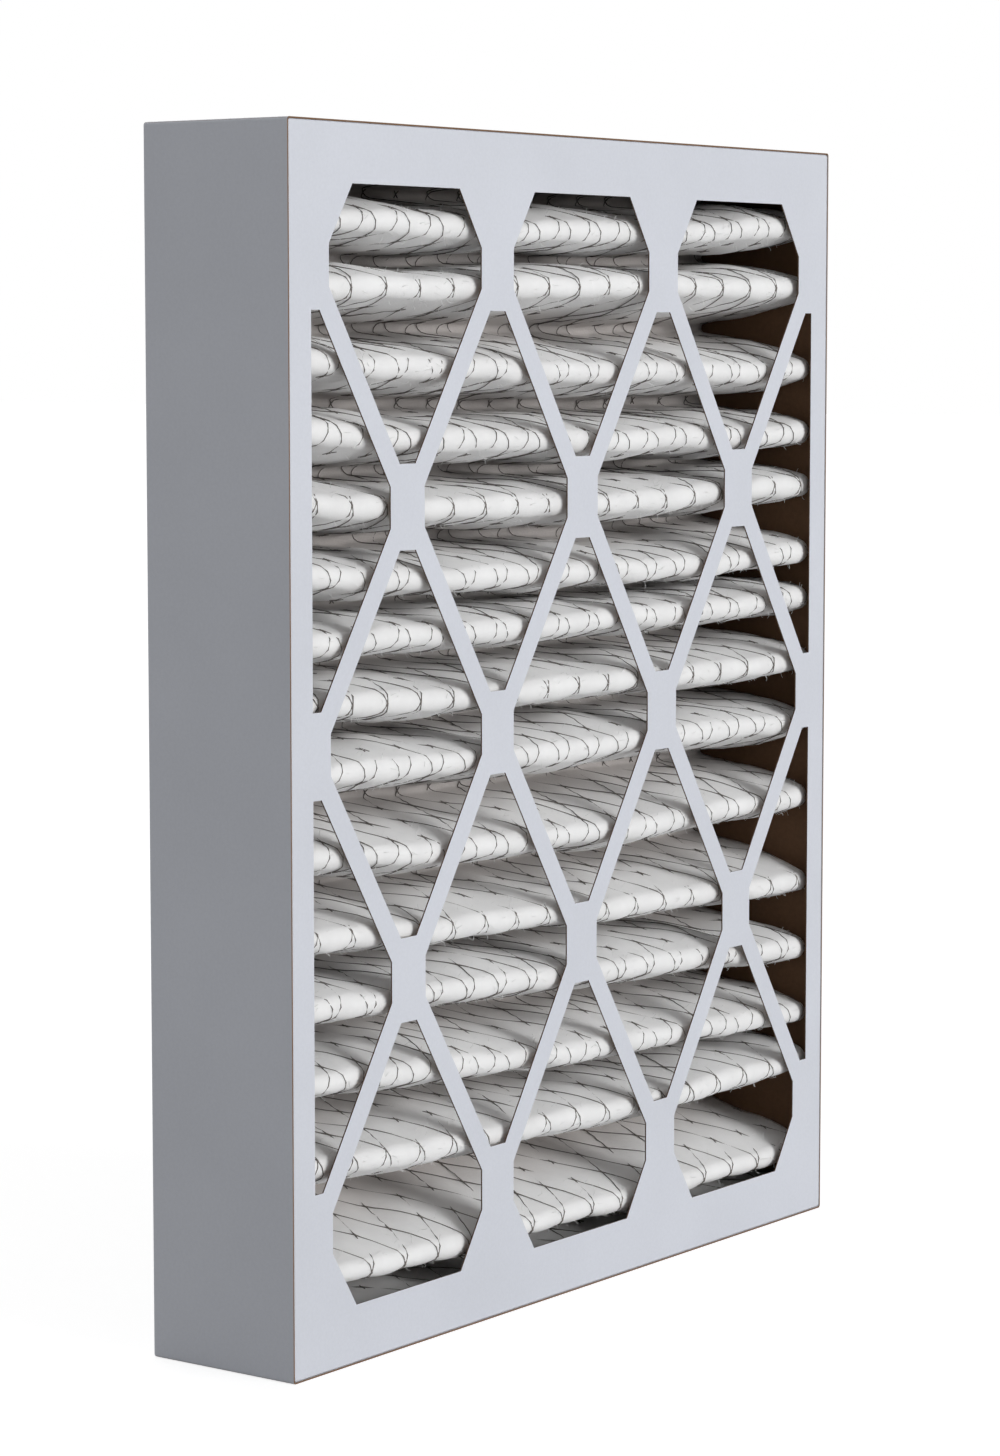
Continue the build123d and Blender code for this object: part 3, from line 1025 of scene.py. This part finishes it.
def sun_light(context, name, towards, spread, white):
    """A broad even light from a direction; white is how bright it makes white card facing it."""
    data = bpy.data.lights.new(name, "SUN")
    data.energy = math.pi * white
    data.angle = math.radians(spread)
    light = bpy.data.objects.new(name, data)
    context.collection.objects.link(light)
    light.rotation_euler = (-Vector(towards)).to_track_quat("-Z", "Y").to_euler()


def seen_rays(tree):
    """1 for rays that show the background: straight from the camera, or by way of gloss or glass."""
    path = node(tree, "ShaderNodeLightPath")
    seen = path.outputs["Is Camera Ray"]
    for kind in ("Is Glossy Ray", "Is Transmission Ray"):
        seen = node(
            tree, "ShaderNodeMath", {0: seen, 1: path.outputs[kind]}, operation="MAXIMUM"
        ).outputs[0]
    return seen


def make_lights(context):
    """A broad low key light from the front, weak ones from the left and behind, and a pale sky."""
    look = context.scene.filter_stage
    for name, towards, spread in LIGHTS:
        sun_light(context, name, towards, spread, getattr(look, name))
    world = bpy.data.worlds.new("studio")
    context.scene.world = world
    world.use_nodes = True
    tree = world.node_tree
    tree.nodes.clear()
    strength = node(
        tree, "ShaderNodeMapRange", {"Value": seen_rays(tree), "To Min": look.sky, "To Max": 1.0}
    )
    light = node(tree, "ShaderNodeBackground", {"Color": (1, 1, 1, 1), "Strength": strength.outputs[0]})
    tree.links.new(light.outputs[0], node(tree, "ShaderNodeOutputWorld").inputs[0])


def make_floor(context):
    """A wide pale floor that keeps the filter's shadow."""
    look = context.scene.filter_stage
    half = FLOOR_SIZE / 2
    mesh = bpy.data.meshes.new("floor")
    corners = [(-half, -half, 0), (half, -half, 0), (half, half, 0), (-half, half, 0)]
    mesh.from_pydata(corners, [], [(0, 1, 2, 3)])
    floor = bpy.data.objects.new("floor", mesh)
    context.collection.objects.link(floor)
    material, output = new_material("studio_floor")
    tree = material.node_tree
    matt = node(tree, "ShaderNodeBsdfDiffuse", {"Color": rgba(look.floor)})
    lift = node(tree, "ShaderNodeMath", {0: seen_rays(tree), 1: look.floor_lift}, operation="MULTIPLY")
    glow = node(tree, "ShaderNodeEmission", {"Color": (1, 1, 1, 1), "Strength": lift.outputs[0]})
    both = node(tree, "ShaderNodeAddShader", {0: matt.outputs[0], 1: glow.outputs[0]})
    tree.links.new(both.outputs[0], output.inputs[0])
    mesh.materials.append(material)


# ---- Operators ----
class FILTER_OT_set_stage(bpy.types.Operator):
    """Set the floor, lights and camera"""

    bl_idname = "filter.set_stage"
    bl_label = "Set stage"

    def execute(self, context):
        context.scene.view_settings.view_transform = "Standard"
        make_camera(context)
        make_lights(context)
        make_floor(context)
        return {"FINISHED"}


class FILTER_OT_finish_trays(bpy.types.Operator):
    """Finish both board trays, coated outside and raw inside"""

    bl_idname = "filter.finish_trays"
    bl_label = "Finish trays"

    def execute(self, context):
        look = context.scene.filter_board
        for name, front, cut in (("front_tray", -1, look.cut), ("rear_tray", 1, look.rim)):
            material = board_material(f"beverage_board_{name}", front, look, cut)
            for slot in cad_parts[name].material_slots:
                slot.material = material
        return {"FINISHED"}


class FILTER_OT_make_felt(bpy.types.Operator):
    """Make the lofted felt of the pleated pack"""

    bl_idname = "filter.make_felt"
    bl_label = "Make felt"

    def execute(self, context):
        felt, cut = make_felt(context)
        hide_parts("pleated_media")
        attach(felt, "root")
        return {"FINISHED"}


class FILTER_OT_make_wire(bpy.types.Operator):
    """Lay the expanded metal on the felt"""

    bl_idname = "filter.make_wire"
    bl_label = "Make wire"

    def execute(self, context):
        wire = make_wire(context)
        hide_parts("wire_backing")
        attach(wire, "root")
        return {"FINISHED"}


class FILTER_OT_make_fibres(bpy.types.Operator):
    """Scatter loose fibres over the felt's crests"""

    bl_idname = "filter.make_fibres"
    bl_label = "Make fibres"

    def execute(self, context):
        fibres = make_fibres(context)
        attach(fibres, "root")
        return {"FINISHED"}


class FILTER_PT_panel(bpy.types.Panel):
    """Sidebar panel that lists the filter's steps and settings"""

    bl_idname = "FILTER_PT_panel"
    bl_label = "Pleated panel filter"
    bl_space_type = "VIEW_3D"
    bl_region_type = "UI"
    bl_category = "Filter"

    def draw(self, context):
        for step in STEPS:
            self.layout.operator(step.bl_idname)
        for name in SETTINGS:
            group = getattr(context.scene, name)
            box = self.layout.box()
            for field in group.__annotations__:
                box.prop(group, field)


SETTINGS = {
    "filter_board": BoardSettings,
    "filter_felt": FeltSettings,
    "filter_wire": WireSettings,
    "filter_fibres": FibreSettings,
    "filter_stage": StageSettings,
}
STEPS = (
    FILTER_OT_set_stage,
    FILTER_OT_finish_trays,
    FILTER_OT_make_felt,
    FILTER_OT_make_wire,
    FILTER_OT_make_fibres,
)


def register():
    """Registers the settings, operators and panel."""
    for name, group in SETTINGS.items():
        bpy.utils.register_class(group)
        setattr(bpy.types.Scene, name, PointerProperty(type=group))
    for kind in (*STEPS, FILTER_PT_panel):
        bpy.utils.register_class(kind)


def unregister():
    """Takes them all out again."""
    for kind in (FILTER_PT_panel, *reversed(STEPS)):
        bpy.utils.unregister_class(kind)
    for name, group in SETTINGS.items():
        delattr(bpy.types.Scene, name)
        bpy.utils.unregister_class(group)


def main():
    """Makes every piece in order."""
    register()
    bpy.ops.filter.set_stage()
    bpy.ops.filter.finish_trays()
    bpy.ops.filter.make_felt()
    bpy.ops.filter.make_wire()
    bpy.ops.filter.make_fibres()


if __name__ == "__main__":
    main()
